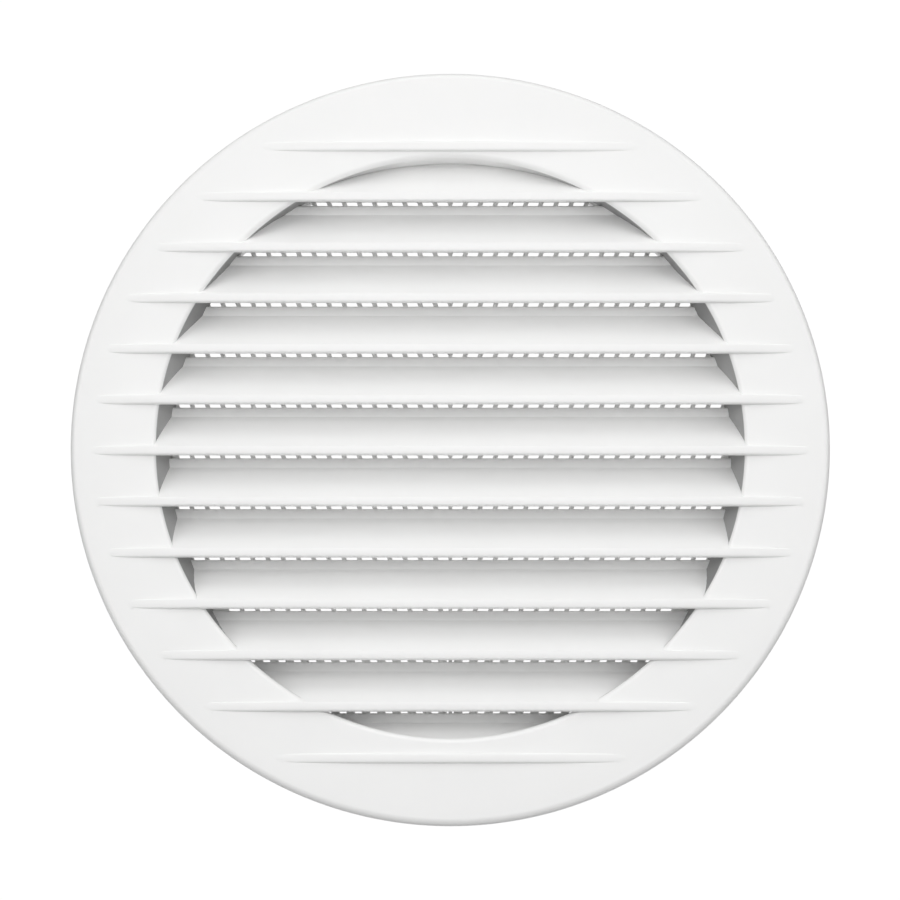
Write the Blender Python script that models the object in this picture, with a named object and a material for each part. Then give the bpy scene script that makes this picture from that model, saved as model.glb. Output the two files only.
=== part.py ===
"""Round louvred ventilation grille with an insect screen, for a 125 mm duct.

The grille stands upright, as on a wall. Its face looks along -Y, +Z is up, and the origin is the centre of the
wall plane, on which the back of the flange rests. Sizes are in millimetres here and become metres in the meshes.
"""
import math

import bmesh
import bpy
from mathutils import Matrix, Vector
from mathutils.geometry import delaunay_2d_cdt

MM = 0.001
GAP = 0.3                    # clearance between neighbouring pieces

# Flange and collar
FLANGE_R = 75.0
FLANGE_T = 3.0
FLANGE_EDGE_ROUND = 1.1
RIM_BAND = 3.0               # flat band that touches the wall
BACK_RECESS = 1.2
COLLAR_R_FRONT = 59.9
COLLAR_R_REAR = 59.5
COLLAR_DEPTH = 16.0
BORE_R = 57.8
BORE_ROUND = 1.2
SEAT_Y = 5.3                 # the ledge that the screen rests on
SEAT_R = 57.8
SEAT_R_SIDES = 55.2          # the bore narrows towards its two sides only
SIDE_START = 44.0            # degrees from the X axis where that begins
SIDE_FULL = 18.0             # and where it is complete
POCKET_R = 58.6
RING_SEGMENTS = 96

# Louvres and ridges
PITCH = 10.16
RIDGE_COUNT = 13
LIP_HALF = 0.95
LIP_OUT = 1.2                # how far a ridge stands out of the flange
LIP_BACK = 0.9               # thickness of the front lip
TIP_R = 71.0                 # the ridges fade out at this radius
TIP_THICKNESS = 0.25         # what is left of a ridge's height there
FULL_R = 59.0                # and have their full height from here inwards
PLATE_OFFSET = 3.95          # top of the 45 degree plate: z = y + PLATE_OFFSET, from the lip's centre
PLATE_DROP = 1.84            # plate thickness, measured upright
STOP_Y = 3.8                 # front of the upright rain stop at the back of each louvre
STOP_T = 1.2
STOP_TOP = 9.66
LOUVRE_LIMIT = 56.9          # no louvre reaches higher or lower than this, to stay clear of the bore
LOUVRE_STEP = 2.5            # spacing of the points along a louvre's ends

# Insect screen
SCREEN_R = 58.3
SCREEN_T = 1.4
WINDOW_LIMIT = 57.8          # no window reaches further out
ROW_COUNTS = (10, 14, 16, 17, 18, 18, 18, 17, 15, 14, 9)
WINDOW_PITCH = 3.02
WINDOW_W = 2.1
WINDOW_START = 0.35          # half of the strand on the centre line
WINDOW_LEAN = 0.36           # sideways run of a strand for each mm of height
WINDOW_RISE = 0.65           # top of a window row above the centre of the lip in front of it
RIB_H = 1.55
NUB_COUNT = 6
NUB_R = 57.6

# Spring clips
CLIP_COUNT = 3
CLIP_SPREAD = 27.0           # degrees between a relaxed bail and the collar's axis
PIN_R = 0.8
PIN_RADIUS_AT = 59.6         # the pin's distance from the grille's axis
PIN_Y = 18.4
PIN_HALF = 7.0
PIN_HEAD_R = 1.4
PIN_HEAD_T = 0.8
EAR_IN = 4.7
EAR_T = 1.6
EAR_HALF = 1.9
EAR_HOLE_R = 1.1
WIRE_R = 0.4
COIL_R = 1.6
COIL_TURNS = 2.5
COIL_PITCH = 1.1
COIL_INNER_END = 1.2
BAIL_LEG = 18.5

WHITE = (0.86, 0.86, 0.85)
SCREEN_WHITE = (0.82, 0.82, 0.81)
STEEL = (0.62, 0.62, 0.63)


def clear_scene():
    for obj in list(bpy.data.objects):
        bpy.data.objects.remove(obj, do_unlink=True)


def make_material(name, color, roughness, metallic=0.0):
    material = bpy.data.materials.new(name)
    material.use_nodes = True
    shader = material.node_tree.nodes["Principled BSDF"]
    shader.inputs["Base Color"].default_value = (*color, 1.0)
    shader.inputs["Roughness"].default_value = roughness
    shader.inputs["Metallic"].default_value = metallic
    return material


def add_object(name, data, material):
    obj = bpy.data.objects.new(name, data)
    obj.data.materials.append(material)
    bpy.context.scene.collection.objects.link(obj)
    return obj


def mesh_object(name, points, faces, material):
    """A closed mesh from points in millimetres, with its faces turned outwards."""
    mesh = bpy.data.meshes.new(name)
    mesh.from_pydata([[c * MM for c in p] for p in points], [], faces)
    bm = bmesh.new()
    bm.from_mesh(mesh)
    bmesh.ops.recalc_face_normals(bm, faces=bm.faces)
    bm.to_mesh(mesh)
    bm.free()
    return add_object(name, mesh, material)


def shade(obj, degrees=35):
    obj.data.shade_smooth()
    obj.data.set_sharp_from_angle(angle=math.radians(degrees))


def combine(target, other, operation):
    """Boolean of two closed objects. The target keeps the result and the other object is removed."""
    modifier = target.modifiers.new("combine", "BOOLEAN")
    modifier.object = other
    modifier.operation = operation
    modifier.solver = "EXACT"
    graph = bpy.context.evaluated_depsgraph_get()
    result = bpy.data.meshes.new_from_object(target.evaluated_get(graph))
    target.modifiers.clear()
    target.data = result
    bpy.data.objects.remove(other, do_unlink=True)


def sweep_sections(name, sections, material, closed):
    """Skin a list of equal point loops. An open run of sections gets end caps."""
    count = len(sections[0])
    points = [p for section in sections for p in section]
    spans = len(sections) if closed else len(sections) - 1
    faces = []
    for i in range(spans):
        a = i * count
        b = (i + 1) % len(sections) * count
        for k in range(count):
            n = (k + 1) % count
            faces.append((a + k, a + n, b + n, b + k))
    if not closed:
        faces.append(tuple(range(count)))
        faces.append(tuple(range(len(points) - count, len(points))))
    return mesh_object(name, points, faces, material)


def radius_towards(angle, at_sides, elsewhere):
    """Radius in one direction, between its values near the X axis and above and below."""
    start, full = math.cos(math.radians(SIDE_START)), math.cos(math.radians(SIDE_FULL))
    share = min(max((abs(math.cos(angle)) - start) / (full - start), 0.0), 1.0)
    return elsewhere + (at_sides - elsewhere) * share * share * (3 - 2 * share)


def turned(name, outline, material, closed=True):
    """Turn an outline of (radius at the sides, radius elsewhere, y) round the Y axis."""
    angles = [2 * math.pi * k / RING_SEGMENTS for k in range(RING_SEGMENTS)]
    sections = []
    for at_sides, elsewhere, y in outline:
        radii = [radius_towards(a, at_sides, elsewhere) for a in angles]
        sections.append([(r * math.cos(a), y, r * math.sin(a)) for r, a in zip(radii, angles)])
    return sweep_sections(name, sections, material, closed)


def arc(center, radius, start, end, steps):
    """Points of an arc in degrees, both ends included."""
    angles = [math.radians(start + (end - start) * i / steps) for i in range(steps + 1)]
    return [(center[0] + radius * math.cos(a), center[1] + radius * math.sin(a)) for a in angles]


def round_outline(points):
    return [(r, r, y) for r, y in points]


def clip_by_line(polygon, normal, offset):
    """Keep the part of a convex polygon where normal . point <= offset."""
    def side(p):
        return p[0] * normal[0] + p[1] * normal[1] - offset

    kept = []
    for i, point in enumerate(polygon):
        previous = polygon[i - 1]
        before, after = side(previous), side(point)
        if (before <= 0) != (after <= 0):
            t = before / (before - after)
            kept.append(tuple(a + (b - a) * t for a, b in zip(previous, point)))
        if after <= 0:
            kept.append(point)
    return kept


# Ridges and louvres --------------------------------------------------------------------------------------------

def ridge_z(number):
    """Height of a ridge's centre, counting from 1 at the top. The middle ridge's top edge is at height 0."""
    return PITCH * ((RIDGE_COUNT + 1) / 2 - number) - LIP_HALF


def ridge_section(x, z0, back_y):
    """Outline of a ridge across its length: flat face, small top round, larger bottom round."""
    rise = min(max((TIP_R - math.hypot(x, z0)) / (TIP_R - FULL_R), 0.0), 1.0)
    tip_front = -FLANGE_T - GAP - TIP_THICKNESS
    front = tip_front + (-FLANGE_T - LIP_OUT - tip_front) * rise
    half = LIP_HALF * min(0.25 + 2.2 * rise, 1.0)
    bottom_round = 0.15 + 0.35 * rise
    top_round = 0.08 + 0.17 * rise
    outline = [(back_y, half), (front + top_round, half), (front, half - top_round)]
    outline += arc((front + bottom_round, -half + bottom_round), bottom_round, 180, 270, 3)
    outline += [(back_y, -half)]
    return [(x, y, z0 + z) for y, z in outline]


def ridge(name, number, back_y, material):
    z0 = ridge_z(number)
    tip = math.sqrt((TIP_R - 0.2) ** 2 - z0 ** 2)
    full = math.sqrt(max(FULL_R ** 2 - z0 ** 2, 0.0))
    half_run = [full + share * (tip - full) for share in (1.0, 0.8, 0.45, 0.0)]
    stations = half_run + [-x for x in reversed(half_run) if x > 0]
    return sweep_sections(name, [ridge_section(x, z0, back_y) for x in stations], material, False)


def louvre_outline(number):
    """Side view of a louvre's plate and rain stop, as (y, z), cut level where it would run into the bore."""
    z0 = ridge_z(number + 1)
    root_y = -FLANGE_T - LIP_OUT + LIP_BACK / 2
    stop_back = STOP_Y + STOP_T
    under_z = -LIP_HALF + 0.15
    outline = [(root_y, root_y + PLATE_OFFSET), (STOP_Y, STOP_Y + PLATE_OFFSET), (STOP_Y, STOP_TOP)]
    outline += [(stop_back, STOP_TOP), (stop_back, stop_back + PLATE_OFFSET - PLATE_DROP)]
    outline += [(under_z - PLATE_OFFSET + PLATE_DROP, under_z), (root_y, under_z)]
    outline = [(y, z0 + z) for y, z in outline]
    outline = clip_by_line(outline, (0.0, 1.0), LOUVRE_LIMIT)
    return clip_by_line(outline, (0.0, -1.0), LOUVRE_LIMIT)


def subdivide(outline, step):
    """Add even points along a closed outline, no further apart than the step."""
    points = []
    for i, (y, z) in enumerate(outline):
        next_y, next_z = outline[(i + 1) % len(outline)]
        count = max(math.ceil(math.hypot(next_y - y, next_z - z) / step), 1)
        points += [(y + (next_y - y) * k / count, z + (next_z - z) * k / count) for k in range(count)]
    return points


def louvre_half_width(y, z):
    """Half of a louvre's width at one point of its outline, where it stops short of the bore."""
    t = max((y + FLANGE_T - BORE_ROUND) / (SEAT_Y + FLANGE_T - BORE_ROUND), 0.0)
    at_sides = BORE_R + (SEAT_R_SIDES - BORE_R) * t - GAP
    elsewhere = BORE_R + (SEAT_R - BORE_R) * t - GAP
    radius = elsewhere
    for _ in range(12):
        half_width = math.sqrt(radius ** 2 - z ** 2)
        radius = radius_towards(math.atan2(z, half_width), at_sides, elsewhere)
    return half_width


def make_louvre(number, material):
    """Louvre 1 hangs from the second ridge. The last has no lip of its own and dies into the bore."""
    name = f"louvre_{number:02d}"
    outline = subdivide(louvre_outline(number), LOUVRE_STEP)
    sections = [[(side * louvre_half_width(y, z), y, z) for y, z in outline] for side in (1, -1)]
    louvre = sweep_sections(name, sections, material, False)
    if number < RIDGE_COUNT - 1:
        back_y = -FLANGE_T - LIP_OUT + LIP_BACK
        combine(louvre, ridge("lip", number + 1, back_y, material), "UNION")
    shade(louvre)


# Flange and collar ---------------------------------------------------------------------------------------------

def ring_outline():
    edge = FLANGE_EDGE_ROUND
    face = -FLANGE_T
    recess = -BACK_RECESS
    outline = round_outline(arc((FLANGE_R - edge, face + edge), edge, -90, 0, 3))
    outline += round_outline([(FLANGE_R, 0.0), (FLANGE_R - RIM_BAND, 0.0), (FLANGE_R - RIM_BAND, recess)])
    outline += round_outline([(COLLAR_R_FRONT, recess), (COLLAR_R_REAR, COLLAR_DEPTH - 0.6)])
    outline += round_outline([(COLLAR_R_REAR - 0.6, COLLAR_DEPTH), (POCKET_R + 0.2, COLLAR_DEPTH)])
    outline += round_outline([(POCKET_R, COLLAR_DEPTH - 0.4), (POCKET_R, SEAT_Y)])
    outline += [(SEAT_R_SIDES, SEAT_R, SEAT_Y)]
    outline += round_outline(arc((BORE_R + BORE_ROUND, face + BORE_ROUND), BORE_ROUND, 180, 270, 3))
    return outline


def local_box(name, u, v, w, material):
    """Box from ranges along the radius (local Z), across it (local X) and along the duct (local Y)."""
    section = [[(x, y, z) for y, z in ((w[0], u[0]), (w[1], u[0]), (w[1], u[1]), (w[0], u[1]))] for x in v]
    return sweep_sections(name, section, material, False)


def local_rod(name, radius, v, segments, material):
    """Round bar along local X, centred on the pin's place."""
    rings = []
    for x in v:
        angles = [2 * math.pi * k / segments for k in range(segments)]
        ring = [(x, PIN_Y + radius * math.cos(a), PIN_RADIUS_AT + radius * math.sin(a)) for a in angles]
        rings.append(ring)
    return sweep_sections(name, rings, material, False)


def turn_about_duct(obj, degrees):
    obj.data.transform(Matrix.Rotation(math.radians(degrees), 4, "Y"))
    return obj


def clip_angles():
    return [360.0 * i / CLIP_COUNT for i in range(CLIP_COUNT)]


def make_ears(ring, angle, material):
    """A pair of round-ended ears on the collar's rear edge, with a hole for the pin."""
    for side in (-1, 1):
        v = sorted((side * EAR_IN, side * (EAR_IN + EAR_T)))
        u = (PIN_RADIUS_AT - EAR_HALF, PIN_RADIUS_AT + EAR_HALF)
        ear = local_box("ear", u, v, (COLLAR_DEPTH - 2.0, PIN_Y), material)
        combine(ear, local_rod("ear_end", EAR_HALF, v, 16, material), "UNION")
        combine(ear, local_rod("ear_hole", EAR_HOLE_R, (v[0] - 1, v[1] + 1), 12, material), "DIFFERENCE")
        combine(ring, turn_about_duct(ear, angle), "UNION")


def make_ring(material):
    ring = turned("grille_ring", ring_outline(), material)
    for number in (1, RIDGE_COUNT):
        combine(ring, ridge("ridge", number, -FLANGE_T + 0.5, material), "UNION")
    for angle in clip_angles():
        make_ears(ring, angle, material)
    nub_y = SEAT_Y + GAP + SCREEN_T + GAP
    for i in range(NUB_COUNT):
        nub = local_box("nub", (NUB_R, POCKET_R + 0.6), (-3.0, 3.0), (nub_y, nub_y + 1.2), material)
        combine(ring, turn_about_duct(nub, 360.0 * (i + 0.5) / NUB_COUNT), "UNION")
    shade(ring)


# Insect screen -------------------------------------------------------------------------------------------------

def clip_by_circle(polygon, radius, sides=72):
    for k in range(sides):
        a = 2 * math.pi * (k + 0.5) / sides
        polygon = clip_by_line(polygon, (math.cos(a), math.sin(a)), radius * math.cos(math.pi / sides))
    return polygon


def row_pattern(row):
    """First window edge and window width of a row: the three lowest rows are set in, the last two narrower."""
    start = WINDOW_START if row < 9 else WINDOW_START - 0.45 * WINDOW_W
    width = WINDOW_W if row < 10 else 0.65 * WINDOW_W
    return start, width


def row_windows(row):
    """Right-hand windows of one row, below the rib that hides behind a louvre's lip."""
    top = ridge_z(row + 1) + WINDOW_RISE
    bottom = top - PITCH + RIB_H
    start, width = row_pattern(row)
    fall = WINDOW_LEAN * (top - bottom)
    windows = []
    for column in range(ROW_COUNTS[row - 1]):
        left = start + WINDOW_LEAN * WINDOW_RISE + WINDOW_PITCH * column
        polygon = [(left, top), (left + width, top), (left + width - fall, bottom), (left - fall, bottom)]
        polygon = clip_by_line(polygon, (-1.0, 0.0), -WINDOW_START)
        windows.append(clip_by_circle(polygon, WINDOW_LIMIT))
    return windows


def screen_loops():
    """The screen's rim, then all its windows, as anticlockwise loops of (x, z)."""
    angles = [2 * math.pi * k / RING_SEGMENTS for k in range(RING_SEGMENTS)]
    loops = [[(SCREEN_R * math.cos(a), SCREEN_R * math.sin(a)) for a in angles]]
    for row in range(1, RIDGE_COUNT - 1):
        for window in row_windows(row):
            loops.append(window[::-1])
            loops.append([(-x, z) for x, z in window])
    return loops


def make_screen(material):
    """Triangulate the disc round its windows, drop the windows and give it its thickness."""
    points = []
    loops = []
    for loop in screen_loops():
        loops.append(list(range(len(points), len(points) + len(loop))))
        points += [Vector(p) for p in loop]
    flat, _, faces, _, _, sources = delaunay_2d_cdt(points, [], loops, 1, 1e-5)
    solid = [face for face, source in zip(faces, sources) if source == [0]]
    count = len(flat)
    front_y = SEAT_Y + GAP
    corners = [(p.x, y, p.y) for y in (front_y, front_y + SCREEN_T) for p in flat]
    edges = {(face[i - 1], face[i]) for face in solid for i in range(3)}
    shell = [tuple(face) for face in solid]
    shell += [tuple(count + v for v in reversed(face)) for face in solid]
    shell += [(b, a, count + a, count + b) for a, b in edges if (b, a) not in edges]
    shade(mesh_object("insect_screen", corners, shell, material))


# Spring clips --------------------------------------------------------------------------------------------------

def bail_path():
    """Right-hand half of the wire, from the coil's inner end to the bail's tip, as (across, along, out)."""
    lean = math.radians(CLIP_SPREAD)
    along = (math.cos(lean), math.sin(lean))
    side = (-math.sin(lean), math.cos(lean))
    leave = math.atan2(side[1], side[0])
    steps = int(COIL_TURNS * 8)
    path = []
    for i in range(steps + 1):
        angle = leave + 2 * math.pi * COIL_TURNS * (1 - i / steps)
        across = COIL_INNER_END + COIL_PITCH * COIL_TURNS * i / steps
        path.append((across, COIL_R * math.cos(angle), COIL_R * math.sin(angle)))
    half_width = COIL_INNER_END + COIL_PITCH * COIL_TURNS
    start = (COIL_R * side[0], COIL_R * side[1])
    for run in (BAIL_LEG / 2, BAIL_LEG):
        path.append((half_width, start[0] + run * along[0], start[1] + run * along[1]))
    for step in range(1, 5):
        turn = math.radians(22.5 * step)
        run = BAIL_LEG + half_width * math.sin(turn)
        path.append((half_width * math.cos(turn), start[0] + run * along[0], start[1] + run * along[1]))
    return path


def make_clip(number, angle, material):
    """A wire clip whose origin is the middle of its pin."""
    half = bail_path()
    path = half + [(-x, y, z) for x, y, z in reversed(half[:-1])]
    curve = bpy.data.curves.new(f"spring_clip_{number}", "CURVE")
    curve.dimensions = "3D"
    curve.bevel_depth = WIRE_R * MM
    curve.bevel_resolution = 1
    curve.use_fill_caps = True
    spline = curve.splines.new("POLY")
    spline.points.add(len(path) - 1)
    for point, place in zip(spline.points, path):
        point.co = (*[c * MM for c in place], 1.0)
    clip = add_object(f"spring_clip_{number}", curve, material)
    turn = Matrix.Rotation(math.radians(angle), 4, "Y")
    clip.matrix_world = turn @ Matrix.Translation((0, PIN_Y * MM, PIN_RADIUS_AT * MM))


def make_pin(number, angle, material):
    pin = local_rod(f"clip_pin_{number}", PIN_R, (-PIN_HALF, PIN_HALF), 16, material)
    head_start = EAR_IN + EAR_T + GAP
    head = local_rod("pin_head", PIN_HEAD_R, (head_start, head_start + PIN_HEAD_T), 16, material)
    combine(pin, head, "UNION")
    turn_about_duct(pin, angle)
    shade(pin)


clear_scene()
white = make_material("white_abs", WHITE, 0.42)
screen_white = make_material("white_screen", SCREEN_WHITE, 0.5)
steel = make_material("stainless_steel", STEEL, 0.3, 1.0)

make_ring(white)
for louvre_number in range(1, RIDGE_COUNT):
    make_louvre(louvre_number, white)
make_screen(screen_white)
for clip_number, clip_angle in enumerate(clip_angles(), start=1):
    make_clip(clip_number, clip_angle, steel)
    make_pin(clip_number, clip_angle, steel)
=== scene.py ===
"""Looks of a round white louvred ventilation grille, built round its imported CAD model.

The flange, collar, ridges, louvres, ears and nubs are one plastic moulding, so here they are joined
into one mesh with rounded edges. The insect screen, the wire clips and their pins get finer meshes
too. Sizes are in millimetres unless a comment says otherwise, and become metres in the meshes.
"""
import math

import bmesh
import bpy
from mathutils import Matrix, Vector
from mathutils.geometry import delaunay_2d_cdt


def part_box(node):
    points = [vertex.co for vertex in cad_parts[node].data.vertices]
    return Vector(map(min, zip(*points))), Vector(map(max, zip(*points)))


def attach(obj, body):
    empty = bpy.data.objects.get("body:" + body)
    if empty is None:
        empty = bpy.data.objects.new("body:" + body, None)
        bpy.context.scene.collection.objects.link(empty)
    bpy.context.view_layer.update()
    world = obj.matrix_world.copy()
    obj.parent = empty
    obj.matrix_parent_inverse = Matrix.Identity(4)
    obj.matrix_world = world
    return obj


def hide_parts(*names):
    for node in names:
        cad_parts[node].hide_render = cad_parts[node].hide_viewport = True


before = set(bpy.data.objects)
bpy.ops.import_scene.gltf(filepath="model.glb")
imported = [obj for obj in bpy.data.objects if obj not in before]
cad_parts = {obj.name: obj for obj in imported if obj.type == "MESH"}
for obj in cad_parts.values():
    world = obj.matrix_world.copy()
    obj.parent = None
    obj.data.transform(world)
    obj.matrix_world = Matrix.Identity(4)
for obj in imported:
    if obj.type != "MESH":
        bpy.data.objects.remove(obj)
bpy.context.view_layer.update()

MM = 0.001
GAP = 0.3                    # between pieces that touch in the real grille


def cad_box(node):
    """Lowest and highest corners of a CAD node, in millimetres."""
    return [[c / MM for c in corner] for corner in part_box(node)]


RING_LOW, RING_HIGH = cad_box("grille_ring")
SCREEN_LOW, SCREEN_HIGH = cad_box("insect_screen")
PIN_LOW, PIN_HIGH = cad_box("clip_pin_1")
LOUVRES = sorted(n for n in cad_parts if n.startswith("louvre_"))
CLIPS = sorted(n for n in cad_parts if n.startswith("spring_clip_"))

# Flange and collar
RIM_R = RING_HIGH[0]
LIP_FRONT = cad_box("louvre_06")[0][1]
LIP_OUT = 1.2                # how far a ridge stands out of the flange
FACE = LIP_FRONT + LIP_OUT
RIM_ROUND = 1.3
BACK_ROUND = 0.3
RIM_BAND = 3.0               # flat band that touches the wall
BACK_RECESS = 1.2
COLLAR_R_FRONT = 59.9
COLLAR_R_REAR = 59.5
COLLAR_DEPTH = 16.0
COLLAR_FILLET = 0.8
COLLAR_END_ROUND = 0.6
BORE_R = 57.8
BORE_ROUND = 1.2             # depth of the rounded edge at the opening's front
BORE_R_SIDES = 58.1          # its two sides are rounded over a narrower band
BORE_EDGE_R = BORE_R + BORE_ROUND
SEAT_Y = SCREEN_LOW[1] - GAP
SEAT_R = 57.8
SEAT_R_SIDES = 55.2          # the bore narrows towards its two sides only
SIDE_START = 44.0            # degrees from the X axis where that begins
SIDE_FULL = 18.0             # and where it is complete
SEAT_EDGE = ((0.2, 0.0), (0.06, 0.06), (0.0, 0.2))     # (outwards, forwards) round the seat's inner edge
POCKET_R = 58.6
POCKET_MOUTH_ROUND = 0.3
POCKET_FLOOR_ROUND = 0.25
FACE_RINGS = (62.0, 65.0, 68.0, 71.0)
RING_SEGMENTS = 288

# Ridges
LOUVRE_2_TOP = cad_box("louvre_02")[1][2]
PITCH = LOUVRE_2_TOP - cad_box("louvre_03")[1][2]
STOP_TOP = 9.66
RIDGE_COUNT = len(LOUVRES) + 1
TOP_RIDGE_Z = LOUVRE_2_TOP - STOP_TOP + 2 * PITCH
LIP_HALF = 0.95
LIP_LOW = 0.9                # a ridge's underside is this far below its centre
LIP_TOP_ROUND = 0.25
LIP_BOTTOM_ROUND = 0.45
LIP_BULGE = 0.04             # the front of a lip is very slightly rounded
LIP_SLOPE = 2.0              # degrees by which a ridge's underside slopes down towards the flange
LIP_DEPTH = 1.25
TIP_R = 71.0                 # the ridges sink into the flange at this radius
FULL_R = 59.0                # and stand at their full height from here inwards
TIP_EXTRA = 0.12             # how far below the face a ridge's mesh goes on
TIP_STEPS = 14

# Louvres
PLATE_OFFSET = 3.95          # top of the 45 degree plate: z = y + PLATE_OFFSET, from the lip's centre
PLATE_DROP = 1.84            # plate thickness, measured upright
STOP_Y = 3.8                 # front of the upright rain stop at the back of each louvre
STOP_T = 1.2
STOP_ROUND = 0.35
EMBED = 1.2                  # how far a louvre's ends run into the collar's wall
LOUVRE_ROOT = 0.45           # a louvre starts this far behind the lips' fronts, inside a lip
LOUVRE_FOOT = LIP_HALF - 0.15
LOUVRE_LIMIT = 58.4          # the lowest and highest louvres are cut level here, inside the collar's wall
LOUVRE_STEP = 1.0

# Ears and nubs that hold the clips' pins and the screen
PIN_Y = (PIN_LOW[1] + PIN_HIGH[1]) / 2
PIN_RADIUS_AT = (PIN_LOW[2] + PIN_HIGH[2]) / 2
PIN_R = 0.8
PIN_HEAD_R = (PIN_HIGH[2] - PIN_LOW[2]) / 2
PIN_TAIL = PIN_LOW[0]
PIN_HEAD_T = 0.8
PIN_HEAD_ROUND = 0.35
PIN_CHAMFER = 0.3
EAR_IN = 4.7
EAR_T = 1.6
EAR_HALF = 1.9
EAR_HOLE_R = 1.1
EAR_FOOT = 2.0               # how far an ear reaches into the collar
EAR_ROUND = 0.18
NUB_COUNT = 6
NUB_R = 57.6
NUB_OUT_R = POCKET_R + 0.6
NUB_HALF = 3.0
NUB_T = 1.2
NUB_ROUND = 0.2

# Insect screen
SCREEN_R = SCREEN_HIGH[0]
WINDOW_LIMIT = 57.8          # no window reaches further out
ROW_COUNTS = (10, 14, 16, 17, 18, 18, 18, 17, 15, 14, 9)
WINDOW_PITCH = 3.02
WINDOW_W = 2.1
WINDOW_START = 0.35          # half of the strand on the centre line
WINDOW_LEAN = 0.36           # sideways run of a strand for each mm of height
WINDOW_RISE = 0.65           # top of a window row above the centre of the lip in front of it
RIB_H = 1.55
SET_IN_ROW = 9               # from this row down the windows start further in
SET_IN = 0.45 * WINDOW_W
NARROW_ROW = 10              # and from this row down they are narrower
NARROW_W = 0.65 * WINDOW_W
SCREEN_EDGE = 0.12

# Spring clips
CLIP_SPREAD = 27.0           # degrees between a relaxed bail and the collar's axis
WIRE_R = 0.4
COIL_R = 1.6
COIL_TURNS = 2.5
COIL_PITCH = 1.1
COIL_INNER_END = 1.2
COIL_STEPS = 28              # for each turn
BAIL_LEG = 18.45
LEG_STEPS = 12
BEND_STEPS = 16
WIRE_SIDES = 14
DOME_SHARE = 0.7             # the wire's ends narrow to this share of its radius
DOME_OUT = 0.2               # over this share of its radius

# Colours
ABS_DARK, ABS_LIGHT = (0.915, 0.915, 0.91), (0.93, 0.93, 0.925)
SCREEN_DARK, SCREEN_LIGHT = (0.86, 0.86, 0.85), (0.89, 0.89, 0.88)
STEEL_DARK, STEEL_LIGHT = (0.52, 0.52, 0.53), (0.66, 0.66, 0.66)
FLOOR_DARK, FLOOR_LIGHT = (0.80, 0.80, 0.80), (0.83, 0.83, 0.83)
# Painted shade: a grey colour on the bore's side walls where the slots end, standing in for their shadow;
# the real plastic there is white
PAINTED_SHADE_COLOUR = (0.24, 0.24, 0.24, 1)
PAINTED_SHADE_START = ((FACE + 0.6) * MM, (FACE + 1.1) * MM)      # depths over which the painted shade on the recess walls comes in
PAINTED_SHADE_END = ((SEAT_Y - 0.1) * MM, (SEAT_Y + 0.1) * MM)    # and fades out to white again

# Stage: the camera looks at the middle of the face
FLOOR_HALF = 4000
FLOOR_Z = -0.35              # in metres, like the camera's and the lamps' places
CAMERA_BELOW = 8.11          # degrees below the face's normal
CAMERA_DISTANCE = 1.4
CAMERA_LENS = 283.71
CAMERA_SHIFT = (-0.00033, -0.00444)
AMBIENT_LEVEL = 0.20         # the dim, even light from everywhere else
BACKDROP_LEVEL = 1.03
BACKDROP_EDGE = (0.75, 0.90)
SOFT_LIGHT_FOCUS = 20
SOFT_LIGHTS = ((42, 8, 2.9), (-42, 8, 2.9), (0, 60, 2.8))     # azimuth, elevation and level
NEAR_LIGHTS = (              # name, place, size (m) and power (W) of the small lamps close to the face
    ("lamp_ahead", (0, -0.25, 0.05), (0.12, 0.12), 0.104),
    ("lamp_above", (0, -0.25, 0.22), (0.15, 0.10), 0.052),
)


# Mesh tools ---------------------------------------------------------------------------------------

def add_object(name, mesh):
    obj = bpy.data.objects.new(name, mesh)
    bpy.context.scene.collection.objects.link(obj)
    return obj


def mesh_object(name, points, faces):
    """A closed mesh from points in millimetres, with its faces turned outwards."""
    mesh = bpy.data.meshes.new(name)
    mesh.from_pydata([[c * MM for c in p] for p in points], [], faces)
    bm = bmesh.new()
    bm.from_mesh(mesh)
    bmesh.ops.recalc_face_normals(bm, faces=bm.faces)
    bm.to_mesh(mesh)
    bm.free()
    return add_object(name, mesh)


def sweep_sections(name, sections, closed=False):
    """Skin a list of equal point loops. An open run of sections gets end caps."""
    count = len(sections[0])
    points = [p for section in sections for p in section]
    spans = len(sections) if closed else len(sections) - 1
    faces = []
    for i in range(spans):
        a = i * count
        b = (i + 1) % len(sections) * count
        for k in range(count):
            n = (k + 1) % count
            faces.append((a + k, a + n, b + n, b + k))
    if not closed:
        faces.append(tuple(range(count)))
        faces.append(tuple(range(len(points) - count, len(points))))
    return mesh_object(name, points, faces)


def circle_angles(segments):
    return [2 * math.pi * k / segments for k in range(segments)]


def radius_towards(angle, at_sides, elsewhere):
    """Radius in one direction, between its values near the X axis and above and below."""
    start, full = math.cos(math.radians(SIDE_START)), math.cos(math.radians(SIDE_FULL))
    share = min(max((abs(math.cos(angle)) - start) / (full - start), 0.0), 1.0)
    return elsewhere + (at_sides - elsewhere) * share * share * (3 - 2 * share)


def turned(name, outline):
    """Turn a closed outline of (radius at the sides, radius elsewhere, y) round the Y axis."""
    angles = circle_angles(RING_SEGMENTS)
    sections = []
    for at_sides, elsewhere, y in outline:
        radii = [radius_towards(a, at_sides, elsewhere) for a in angles]
        sections.append([(r * math.cos(a), y, r * math.sin(a)) for r, a in zip(radii, angles)])
    return sweep_sections(name, sections, True)


def arc(center, radius, start, end, steps=6):
    """Points of an arc in degrees, both ends included."""
    angles = [math.radians(start + (end - start) * i / steps) for i in range(steps + 1)]
    return [(center[0] + radius * math.cos(a), center[1] + radius * math.sin(a)) for a in angles]


def round_outline(points):
    return [(r, r, y) for r, y in points]


def evaluated_mesh(obj):
    graph = bpy.context.evaluated_depsgraph_get()
    return bpy.data.meshes.new_from_object(obj.evaluated_get(graph))


def apply_modifiers(obj):
    mesh = evaluated_mesh(obj)
    obj.modifiers.clear()
    obj.data = mesh


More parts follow.
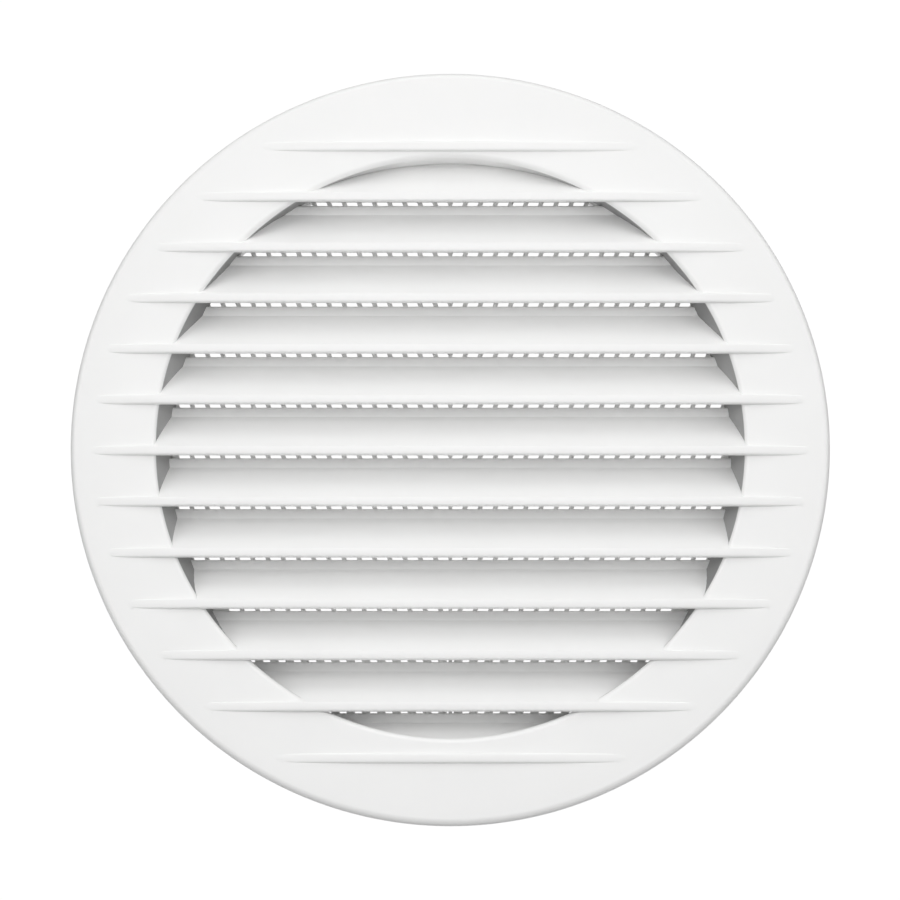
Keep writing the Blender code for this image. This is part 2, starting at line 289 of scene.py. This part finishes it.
def combine(target, others, operation):
    """Exact Boolean of a closed object with several others, which are removed."""
    operands = bpy.data.collections.new("operands")
    for other in others:
        operands.objects.link(other)
    modifier = target.modifiers.new("combine", "BOOLEAN")
    modifier.operation = operation
    modifier.operand_type = "COLLECTION"
    modifier.collection = operands
    modifier.solver = "EXACT"
    apply_modifiers(target)
    for other in others:
        bpy.data.objects.remove(other, do_unlink=True)
    bpy.data.collections.remove(operands)


def finish_surface(obj, degrees=32):
    """Smooth shading that keeps flat faces flat next to their rounded edges."""
    obj.data.shade_smooth()
    obj.data.set_sharp_from_angle(angle=math.radians(degrees))
    weighted = obj.modifiers.new("flat faces", "WEIGHTED_NORMAL")
    weighted.keep_sharp = True
    apply_modifiers(obj)


def round_edges(obj, width, segments=2, degrees=40):
    bevel = obj.modifiers.new("round edges", "BEVEL")
    bevel.width = width * MM
    bevel.segments = segments
    bevel.limit_method = "ANGLE"
    bevel.angle_limit = math.radians(degrees)
    bevel.use_clamp_overlap = True
    apply_modifiers(obj)


def turn_about_duct(obj, degrees):
    obj.data.transform(Matrix.Rotation(math.radians(degrees), 4, "Y"))
    return obj


def local_box(name, u, v, w):
    """Box from ranges along the radius (local Z), across it (local X) and along the duct (local Y)."""
    corners = ((w[0], u[0]), (w[1], u[0]), (w[1], u[1]), (w[0], u[1]))
    sections = [[(x, y, z) for y, z in corners] for x in v]
    return sweep_sections(name, sections)


def local_turned(name, outline, segments):
    """Turn (radius, x) points round the pin's axis, which runs along local X."""
    rings = []
    for radius, x in outline:
        ring = [(x, PIN_Y + radius * math.cos(a), PIN_RADIUS_AT + radius * math.sin(a))
                for a in circle_angles(segments)]
        rings.append(ring)
    return sweep_sections(name, rings)


def clip_by_line(polygon, normal, offset):
    """Keep the part of a convex polygon where normal . point <= offset."""
    def side(p):
        return p[0] * normal[0] + p[1] * normal[1] - offset

    kept = []
    for i, point in enumerate(polygon):
        previous = polygon[i - 1]
        before, after = side(previous), side(point)
        if (before <= 0) != (after <= 0):
            t = before / (before - after)
            kept.append(tuple(a + (b - a) * t for a, b in zip(previous, point)))
        if after <= 0:
            kept.append(point)
    return kept


# The moulding -------------------------------------------------------------------------------------

def ring_outline():
    """Section of the flange and collar, from the rim's front round the back to the bore."""
    recess = -BACK_RECESS
    band_in = RIM_R - RIM_BAND
    outline = round_outline(arc((RIM_R - RIM_ROUND, FACE + RIM_ROUND), RIM_ROUND, -90, 0, 10))
    outline += round_outline(arc((RIM_R - BACK_ROUND, -BACK_ROUND), BACK_ROUND, 0, 90, 4))
    outline += round_outline(arc((band_in + BACK_ROUND, -BACK_ROUND), BACK_ROUND, 90, 180, 4))
    outline += round_outline(arc((band_in - BACK_ROUND, recess + BACK_ROUND), BACK_ROUND, 0, -90, 4))
    fillet = (COLLAR_R_FRONT + COLLAR_FILLET, recess + COLLAR_FILLET)
    outline += round_outline(arc(fillet, COLLAR_FILLET, 270, 180, 5))
    collar_end = (COLLAR_R_REAR - COLLAR_END_ROUND, COLLAR_DEPTH - COLLAR_END_ROUND)
    outline += round_outline(arc(collar_end, COLLAR_END_ROUND, 0, 90, 5))
    mouth = (POCKET_R + POCKET_MOUTH_ROUND, COLLAR_DEPTH - POCKET_MOUTH_ROUND)
    outline += round_outline(arc(mouth, POCKET_MOUTH_ROUND, 90, 180, 4))
    pocket_floor = (POCKET_R - POCKET_FLOOR_ROUND, SEAT_Y + POCKET_FLOOR_ROUND)
    outline += round_outline(arc(pocket_floor, POCKET_FLOOR_ROUND, 0, -90, 3))
    for outwards, forwards in SEAT_EDGE:
        outline.append((SEAT_R_SIDES + outwards, SEAT_R + outwards, SEAT_Y - forwards))
    side_share = (BORE_EDGE_R - BORE_R_SIDES) / BORE_ROUND
    for inset, y in arc((0.0, FACE + BORE_ROUND), BORE_ROUND, 180, 270, 10):
        outline.append((BORE_EDGE_R + inset * side_share, BORE_EDGE_R + inset, y))
    outline += round_outline([(r, FACE) for r in FACE_RINGS])
    return outline


def ridge_z(number):
    """Height of a ridge's centre, counting from 1 at the top."""
    return TOP_RIDGE_Z - PITCH * (number - 1)


def lip_profile():
    """A ridge's section as (depth, height): crisp top, bulged front, rounded bottom, sloping underside."""
    top = LIP_HALF - LIP_TOP_ROUND
    low = -LIP_LOW + LIP_BOTTOM_ROUND
    profile = [(LIP_DEPTH, LIP_HALF)] + arc((LIP_TOP_ROUND, top), LIP_TOP_ROUND, 90, 180, 5)
    steps = 6
    for i in range(1, steps):
        share = i / steps
        profile.append((-LIP_BULGE * 4 * share * (1 - share), top + (low - top) * share))
    profile += arc((LIP_BOTTOM_ROUND, low), LIP_BOTTOM_ROUND, 180, 270 - LIP_SLOPE, 7)
    depth, height = profile[-1]
    profile.append((LIP_DEPTH, height - (LIP_DEPTH - depth) * math.tan(math.radians(LIP_SLOPE))))
    return profile


def ridge(number):
    """A bar across the whole face whose ends sink into the flange."""
    z0 = ridge_z(number)
    end = math.sqrt((TIP_R + 1.0) ** 2 - z0 ** 2)
    full = math.sqrt(max((FULL_R - 0.5) ** 2 - z0 ** 2, 0.0))
    half_run = [full + (end - full) * (1 - i / TIP_STEPS) for i in range(TIP_STEPS)]
    half_run += [full * i / 3 for i in (3, 2, 1, 0)] if full > 0 else [0.0]
    stations = half_run + [-x for x in reversed(half_run[:-1])]
    sections = []
    for x in stations:
        sink = (math.hypot(x, z0) - FULL_R) / (TIP_R - FULL_R) * LIP_OUT
        front = LIP_FRONT + LIP_BULGE + min(max(sink, 0.0), LIP_OUT + TIP_EXTRA)
        sections.append([(x, front + depth, z0 + z) for depth, z in lip_profile()])
    return sweep_sections(f"ridge_{number}", sections)


def louvre_outline(number):
    """Side view of a louvre's plate and rain stop, as (y, z), cut level inside the collar's wall."""
    z0 = ridge_z(number + 1)
    root_y = LIP_FRONT + LOUVRE_ROOT
    stop_back = STOP_Y + STOP_T
    outline = [(root_y, root_y + PLATE_OFFSET), (STOP_Y, STOP_Y + PLATE_OFFSET)]
    outline += arc((STOP_Y + STOP_ROUND, STOP_TOP - STOP_ROUND), STOP_ROUND, 180, 90, 4)
    outline += arc((stop_back - STOP_ROUND, STOP_TOP - STOP_ROUND), STOP_ROUND, 90, 0, 4)
    outline += [(stop_back, stop_back + PLATE_OFFSET - PLATE_DROP)]
    outline += [(PLATE_DROP - PLATE_OFFSET - LOUVRE_FOOT, -LOUVRE_FOOT), (root_y, -LOUVRE_FOOT)]
    outline = [(y, z0 + z) for y, z in outline]
    outline = clip_by_line(outline, (0.0, 1.0), LOUVRE_LIMIT)
    return clip_by_line(outline, (0.0, -1.0), LOUVRE_LIMIT)


def subdivide(outline, step):
    """Add even points along a closed outline, no further apart than the step."""
    points = []
    for i, (y, z) in enumerate(outline):
        next_y, next_z = outline[(i + 1) % len(outline)]
        count = max(math.ceil(math.hypot(next_y - y, next_z - z) / step), 1)
        points += [(y + (next_y - y) * k / count, z + (next_z - z) * k / count) for k in range(count)]
    return points


def louvre_half_width(y, z):
    """Half of a louvre's width at one point of its outline, just inside the collar's wall."""
    t = max((y - FACE - BORE_ROUND) / (SEAT_Y - FACE - BORE_ROUND), 0.0)
    at_sides = BORE_R_SIDES + (SEAT_R_SIDES - BORE_R_SIDES) * t + EMBED
    elsewhere = BORE_R + (SEAT_R - BORE_R) * t + EMBED
    radius = elsewhere
    for _ in range(12):
        half_width = math.sqrt(radius ** 2 - z ** 2)
        radius = radius_towards(math.atan2(z, half_width), at_sides, elsewhere)
    return half_width


def louvre(number):
    outline = subdivide(louvre_outline(number), LOUVRE_STEP)
    sections = [[(side * louvre_half_width(y, z), y, z) for y, z in outline] for side in (1, -1)]
    return sweep_sections(f"plate_{number}", sections)


def ear(angle, side):
    """A round-ended ear on the collar's rear edge, with a hole for the pin."""
    v = sorted((side * EAR_IN, side * (EAR_IN + EAR_T)))
    u = (PIN_RADIUS_AT - EAR_HALF, PIN_RADIUS_AT + EAR_HALF)
    body = local_box("ear", u, v, (COLLAR_DEPTH - EAR_FOOT, PIN_Y))
    round_end = local_turned("ear_end", [(EAR_HALF, x) for x in v], 40)
    combine(body, [round_end], "UNION")
    hole = local_turned("ear_hole", [(EAR_HOLE_R, v[0] - 1), (EAR_HOLE_R, v[1] + 1)], 28)
    combine(body, [hole], "DIFFERENCE")
    round_edges(body, EAR_ROUND, 2, 50)
    return turn_about_duct(body, angle)


def nub(index):
    y = SCREEN_HIGH[1] + GAP
    body = local_box("nub", (NUB_R, NUB_OUT_R), (-NUB_HALF, NUB_HALF), (y, y + NUB_T))
    round_edges(body, NUB_ROUND, 2)
    return turn_about_duct(body, 360.0 * (index + 0.5) / NUB_COUNT)


def clip_angles():
    return [360.0 * i / len(CLIPS) for i in range(len(CLIPS))]


def make_moulding():
    moulding = turned("moulding", ring_outline())
    pieces = [ridge(n) for n in range(1, RIDGE_COUNT + 1)]
    pieces += [louvre(n) for n in range(1, RIDGE_COUNT)]
    pieces += [ear(angle, side) for angle in clip_angles() for side in (-1, 1)]
    pieces += [nub(i) for i in range(NUB_COUNT)]
    combine(moulding, pieces, "UNION")
    finish_surface(moulding)
    return moulding


# The insect screen --------------------------------------------------------------------------------

def clip_by_circle(polygon, radius, sides=144):
    """Keep the part of a convex polygon inside a circle round the middle."""
    for k in range(sides):
        a = 2 * math.pi * (k + 0.5) / sides
        polygon = clip_by_line(polygon, (math.cos(a), math.sin(a)), radius * math.cos(math.pi / sides))
    return polygon


def row_pattern(row):
    """First window edge and window width of a row."""
    start = WINDOW_START if row < SET_IN_ROW else WINDOW_START - SET_IN
    width = WINDOW_W if row < NARROW_ROW else NARROW_W
    return start, width


def row_windows(row):
    """Right-hand windows of one row, below the rib that hides behind a louvre's lip."""
    top = ridge_z(row + 1) + WINDOW_RISE
    bottom = top - PITCH + RIB_H
    start, width = row_pattern(row)
    fall = WINDOW_LEAN * (top - bottom)
    windows = []
    for column in range(ROW_COUNTS[row - 1]):
        left = start + WINDOW_LEAN * WINDOW_RISE + WINDOW_PITCH * column
        polygon = [(left, top), (left + width, top), (left + width - fall, bottom), (left - fall, bottom)]
        polygon = clip_by_line(polygon, (-1.0, 0.0), -WINDOW_START)
        windows.append(clip_by_circle(polygon, WINDOW_LIMIT))
    return windows


def make_screen():
    """A disc triangulated round its windows, thickened, with its edges rounded."""
    loops = [[(SCREEN_R * math.cos(a), SCREEN_R * math.sin(a)) for a in circle_angles(192)]]
    for row in range(1, RIDGE_COUNT - 1):
        for window in row_windows(row):
            loops.append(window[::-1])
            loops.append([(-x, z) for x, z in window])
    points = [Vector(p) for loop in loops for p in loop]
    indices = []
    for loop in loops:
        start = indices[-1][-1] + 1 if indices else 0
        indices.append(list(range(start, start + len(loop))))
    flat, _, faces, _, _, sources = delaunay_2d_cdt(points, [], indices, 1, 1e-5)
    solid = [face for face, source in zip(faces, sources) if source == [0]]
    count = len(flat)
    corners = [(p.x, y, p.y) for y in (SCREEN_LOW[1], SCREEN_HIGH[1]) for p in flat]
    edges = {(face[i - 1], face[i]) for face in solid for i in range(3)}
    shell = [tuple(face) for face in solid]
    shell += [tuple(count + v for v in reversed(face)) for face in solid]
    shell += [(b, a, count + a, count + b) for a, b in edges if (b, a) not in edges]
    screen = mesh_object("insect_mesh", corners, shell)
    round_edges(screen, SCREEN_EDGE, 2, 60)
    finish_surface(screen, 50)
    return screen


# Spring clips and pins ----------------------------------------------------------------------------

def bail_path():
    """Right-hand half of the wire, from the coil's inner end to the bail's tip, as (across, along, out)."""
    lean = math.radians(CLIP_SPREAD)
    along = (math.cos(lean), math.sin(lean))
    side = (-math.sin(lean), math.cos(lean))
    leave = math.atan2(side[1], side[0])
    steps = int(COIL_TURNS * COIL_STEPS)
    path = []
    for i in range(steps + 1):
        angle = leave + 2 * math.pi * COIL_TURNS * (1 - i / steps)
        across = COIL_INNER_END + COIL_PITCH * COIL_TURNS * i / steps
        path.append((across, COIL_R * math.cos(angle), COIL_R * math.sin(angle)))
    half_width = COIL_INNER_END + COIL_PITCH * COIL_TURNS
    start = (COIL_R * side[0], COIL_R * side[1])
    for i in range(1, LEG_STEPS + 1):
        run = BAIL_LEG * i / LEG_STEPS
        path.append((half_width, start[0] + run * along[0], start[1] + run * along[1]))
    for i in range(1, BEND_STEPS + 1):
        turn = math.radians(90 * i / BEND_STEPS)
        run = BAIL_LEG + half_width * math.sin(turn)
        path.append((half_width * math.cos(turn), start[0] + run * along[0], start[1] + run * along[1]))
    return path


def tube(name, path, radius, sides):
    """Round wire along a path, with slightly domed ends. Its frame is carried along without twisting."""
    points = [Vector(p) for p in path]
    tangents = []
    for i in range(len(points)):
        tangents.append((points[min(i + 1, len(points) - 1)] - points[max(i - 1, 0)]).normalized())
    normal = tangents[0].orthogonal().normalized()
    sections = []
    angles = circle_angles(sides)
    for i, (point, tangent) in enumerate(zip(points, tangents)):
        normal = (normal - tangent * normal.dot(tangent)).normalized()
        binormal = tangent.cross(normal)
        ring = [point + (normal * math.cos(a) + binormal * math.sin(a)) * radius for a in angles]
        dome = tangent * radius * DOME_OUT
        if i == 0:
            sections.append([point + (p - point) * DOME_SHARE - dome for p in ring])
        sections.append(ring)
        if i == len(points) - 1:
            sections.append([point + (p - point) * DOME_SHARE + dome for p in ring])
    return sweep_sections(name, sections)


def make_clip(node, angle):
    half = bail_path()
    path = half + [(-x, y, z) for x, y, z in reversed(half[:-1])]
    clip = tube("wire_" + node, path, WIRE_R, WIRE_SIDES)
    clip.data.transform(Matrix.Translation((0, PIN_Y * MM, PIN_RADIUS_AT * MM)))
    turn_about_duct(clip, angle)
    clip.data.shade_smooth()
    clip.data.set_sharp_from_angle(angle=math.radians(50))
    return clip


def make_pin(number, angle):
    """A turned pin with a chamfered tail and a rounded head."""
    head_start = EAR_IN + EAR_T + GAP
    head_end = head_start + PIN_HEAD_T
    outline = [(PIN_R - PIN_CHAMFER, PIN_TAIL), (PIN_R, PIN_TAIL + PIN_CHAMFER)]
    outline += [(PIN_R, head_start - 0.02), (PIN_R, head_start)]
    outline += [(PIN_HEAD_R - 0.1, head_start), (PIN_HEAD_R, head_start + 0.1)]
    outline += arc((PIN_HEAD_R - PIN_HEAD_ROUND, head_end - PIN_HEAD_ROUND), PIN_HEAD_ROUND, 0, 90, 6)
    outline.append((0.25, head_end))
    pin = local_turned(f"turned_pin_{number}", outline, 40)
    turn_about_duct(pin, angle)
    finish_surface(pin, 30)
    return pin


# Materials ----------------------------------------------------------------------------------------

def new_material(name):
    material = bpy.data.materials.new(name)
    material.use_nodes = True
    tree = material.node_tree
    return material, tree, tree.nodes["Principled BSDF"]


def noise(tree, scale, detail=2.0, roughness=0.5):
    """Noise in object space."""
    coords = tree.nodes.new("ShaderNodeTexCoord")
    texture = tree.nodes.new("ShaderNodeTexNoise")
    texture.inputs["Scale"].default_value = scale
    texture.inputs["Detail"].default_value = detail
    texture.inputs["Roughness"].default_value = roughness
    tree.links.new(coords.outputs["Object"], texture.inputs["Vector"])
    return texture.outputs["Fac"]


def remap(tree, value, low, high, from_low=0.3, from_high=0.7):
    """Run evenly from low to high while the value goes from from_low to from_high."""
    node = tree.nodes.new("ShaderNodeMapRange")
    node.inputs["From Min"].default_value = from_low
    node.inputs["From Max"].default_value = from_high
    node.inputs["To Min"].default_value = low
    node.inputs["To Max"].default_value = high
    tree.links.new(value, node.inputs["Value"])
    return node.outputs["Result"]


def tint(tree, value, dark, light, socket):
    """Colour between two close tones, by a noise value."""
    ramp = tree.nodes.new("ShaderNodeValToRGB")
    ramp.color_ramp.elements[0].position = 0.3
    ramp.color_ramp.elements[1].position = 0.7
    ramp.color_ramp.elements[0].color = (*dark, 1.0)
    ramp.color_ramp.elements[1].color = (*light, 1.0)
    tree.links.new(value, ramp.inputs["Fac"])
    tree.links.new(ramp.outputs["Color"], socket)


def math_node(tree, operation, *inputs):
    """A maths node fed with numbers and sockets."""
    node = tree.nodes.new("ShaderNodeMath")
    node.operation = operation
    for socket, value in zip(node.inputs, inputs):
        if isinstance(value, (int, float)):
            socket.default_value = value
        else:
            tree.links.new(value, socket)
    return node.outputs["Value"]


def add_bump(tree, shader, heights):
    """Chain bumps from (height value, strength, distance in millimetres)."""
    previous = None
    for value, strength, distance in heights:
        bump = tree.nodes.new("ShaderNodeBump")
        bump.inputs["Strength"].default_value = strength
        bump.inputs["Distance"].default_value = distance * MM
        tree.links.new(value, bump.inputs["Height"])
        if previous:
            tree.links.new(previous, bump.inputs["Normal"])
        previous = bump.outputs["Normal"]
    tree.links.new(previous, shader.inputs["Normal"])


def moulded_plastic(name, dark, light, roughness, grain):
    """Satin moulded plastic: fine spark-eroded grain, slow flow marks and a slightly uneven gloss."""
    material, tree, shader = new_material(name)
    slow = noise(tree, 45.0, 3.0)
    fine = noise(tree, 3200.0, 2.0)
    tint(tree, slow, dark, light, shader.inputs["Base Color"])
    tree.links.new(remap(tree, slow, roughness - 0.03, roughness + 0.03), shader.inputs["Roughness"])
    shader.inputs["IOR"].default_value = 1.5
    shader.inputs["Specular IOR Level"].default_value = 0.5
    add_bump(tree, shader, [(slow, 0.25, 0.05), (fine, grain, 0.01)])
    return material


def let_light_through(material):
    """Unfilled polypropylene is milky: light soaks through thin strands."""
    shader = material.node_tree.nodes["Principled BSDF"]
    shader.inputs["Subsurface Weight"].default_value = 0.9
    shader.inputs["Subsurface Radius"].default_value = (1.0, 1.0, 1.0)
    shader.inputs["Subsurface Scale"].default_value = 1.5 * MM


def vector_node(tree, operation, first, second=None):
    """A vector maths node fed with a socket and, where it takes one, a second socket or vector."""
    node = tree.nodes.new("ShaderNodeVectorMath")
    node.operation = operation
    tree.links.new(first, node.inputs[0])
    if isinstance(second, (tuple, Vector)):
        node.inputs[1].default_value = second
    elif second:
        tree.links.new(second, node.inputs[1])
    return node.outputs


def components(tree, vector):
    node = tree.nodes.new("ShaderNodeSeparateXYZ")
    tree.links.new(vector, node.inputs["Vector"])
    return node.outputs


def add_painted_shade(material):
    """Paint shade into the colour: the inward-facing wall of the bore turns grey at its two sides, where
    the slots end, as a stand-in for the shadow there.
    """
    tree = material.node_tree
    coords = tree.nodes.new("ShaderNodeTexCoord").outputs
    depth = components(tree, coords["Object"])["Y"]
    outward = vector_node(tree, "MULTIPLY", coords["Object"], (1, 0, 1))["Vector"]
    unit = vector_node(tree, "NORMALIZE", outward)["Vector"]
    facing = vector_node(tree, "DOT_PRODUCT", unit, coords["Normal"])["Value"]
    sideways = math_node(tree, "ABSOLUTE", components(tree, unit)["X"])
    share = remap(tree, facing, 1.0, 0.0, -0.95, -0.8)
    for part in (remap(tree, depth, 0.0, 1.0, *PAINTED_SHADE_START),
                 remap(tree, depth, 1.0, 0.0, *PAINTED_SHADE_END),
                 remap(tree, sideways, 0.0, 1.0, 0.15, 0.45)):
        share = math_node(tree, "MULTIPLY", share, part)
    socket = tree.nodes["Principled BSDF"].inputs["Base Color"]
    # mix the plastic's own colour with the painted shade grey by the mask
    mix = tree.nodes.new("ShaderNodeMix")
    mix.data_type = "RGBA"
    colours = [port for port in mix.inputs if port.type == "RGBA"]
    tree.links.new(share, mix.inputs["Factor"])
    tree.links.new(socket.links[0].from_socket, colours[0])
    colours[1].default_value = PAINTED_SHADE_COLOUR
    result = [port for port in mix.outputs if port.type == "RGBA"][0]
    tree.links.new(result, socket)


def steel(name):
    """Bright stainless steel with a fine, uneven polish."""
    material, tree, shader = new_material(name)
    polish = noise(tree, 900.0, 3.0, 0.6)
    tint(tree, noise(tree, 150.0, 2.0), STEEL_DARK, STEEL_LIGHT, shader.inputs["Base Color"])
    shader.inputs["Metallic"].default_value = 1.0
    tree.links.new(remap(tree, polish, 0.2, 0.36), shader.inputs["Roughness"])
    add_bump(tree, shader, [(polish, 0.3, 0.01)])
    return material


def dress(obj, material):
    obj.data.materials.clear()
    obj.data.materials.append(material)


# Stage --------------------------------------------------------------------------------------------

def aim(obj, place, target):
    obj.location = place
    obj.rotation_euler = (Vector(target) - Vector(place)).to_track_quat("-Z", "Y").to_euler()


def area_light(name, place, target, size, power):
    data = bpy.data.lights.new(name, "AREA")
    data.shape = "RECTANGLE"
    data.size, data.size_y = size
    data.energy = power
    lamp = bpy.data.objects.new(name, data)
    bpy.context.scene.collection.objects.link(lamp)
    aim(lamp, place, target)
    lamp.visible_camera = False


def towards(azimuth, elevation):
    """Direction in degrees: azimuth 0 is in front of the grille, 90 on its +X side."""
    a, e = math.radians(azimuth), math.radians(elevation)
    return Vector((math.sin(a) * math.cos(e), -math.cos(a) * math.cos(e), math.sin(e)))


def make_world():
    """Soft studio surroundings: broad patches of light and a white backdrop behind the grille."""
    world = bpy.data.worlds.new("studio")
    world.use_nodes = True
    tree = world.node_tree
    coords = tree.nodes.new("ShaderNodeTexCoord").outputs["Generated"]
    behind = vector_node(tree, "DOT_PRODUCT", coords, towards(180, CAMERA_BELOW))["Value"]
    total = remap(tree, behind, AMBIENT_LEVEL, BACKDROP_LEVEL, *BACKDROP_EDGE)
    for azimuth, elevation, level in SOFT_LIGHTS:
        lean = vector_node(tree, "DOT_PRODUCT", coords, towards(azimuth, elevation))["Value"]
        spot = math_node(tree, "POWER", math_node(tree, "MAXIMUM", lean, 0.0), SOFT_LIGHT_FOCUS)
        total = math_node(tree, "ADD", total, math_node(tree, "MULTIPLY", spot, level))
    tree.links.new(total, tree.nodes["Background"].inputs["Strength"])
    tree.nodes["Background"].inputs["Color"].default_value = (1, 1, 1, 1)
    bpy.context.scene.world = world


def make_floor():
    corners = [(-FLOOR_HALF, -FLOOR_HALF, 0), (FLOOR_HALF, -FLOOR_HALF, 0)]
    corners += [(FLOOR_HALF, FLOOR_HALF, 0), (-FLOOR_HALF, FLOOR_HALF, 0)]
    floor = mesh_object("floor", corners, [(0, 1, 2, 3)])
    floor.location.z = FLOOR_Z
    material, tree, shader = new_material("pale_floor")
    tint(tree, noise(tree, 3.0), FLOOR_DARK, FLOOR_LIGHT, shader.inputs["Base Color"])
    shader.inputs["Roughness"].default_value = 0.8
    dress(floor, material)


def make_camera():
    data = bpy.data.cameras.new("camera")
    data.sensor_width = 36.0
    data.lens = CAMERA_LENS
    data.shift_x, data.shift_y = CAMERA_SHIFT
    camera = bpy.data.objects.new("camera", data)
    bpy.context.scene.collection.objects.link(camera)
    lean = math.radians(CAMERA_BELOW)
    face = Vector((0, FACE * MM, 0))
    aim(camera, face + CAMERA_DISTANCE * Vector((0, -math.cos(lean), -math.sin(lean))), face)
    bpy.context.scene.camera = camera


moulding = make_moulding()
satin_abs = moulded_plastic("satin_abs", ABS_DARK, ABS_LIGHT, 0.38, 0.25)
add_painted_shade(satin_abs)
dress(moulding, satin_abs)
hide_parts("grille_ring", *LOUVRES)
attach(moulding, "grille")

screen = make_screen()
milky_plastic = moulded_plastic("screen_polypropylene", SCREEN_DARK, SCREEN_LIGHT, 0.45, 0.2)
let_light_through(milky_plastic)
dress(screen, milky_plastic)
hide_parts("insect_screen")
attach(screen, "grille")

wire = steel("drawn_spring_wire")
pin_metal = steel("turned_pin_steel")
for number, (node, angle) in enumerate(zip(CLIPS, clip_angles()), start=1):
    clip = make_clip(node, angle)
    dress(clip, wire)
    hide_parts(node)
    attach(clip, f"clip_{number}")
    pin = make_pin(number, angle)
    dress(pin, pin_metal)
    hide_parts(f"clip_pin_{number}")
    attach(pin, "grille")

make_world()
for name, place, size, power in NEAR_LIGHTS:
    area_light(name, place, (0, 0, 0), size, power)
make_floor()
make_camera()
bpy.context.scene.view_settings.view_transform = "Standard"
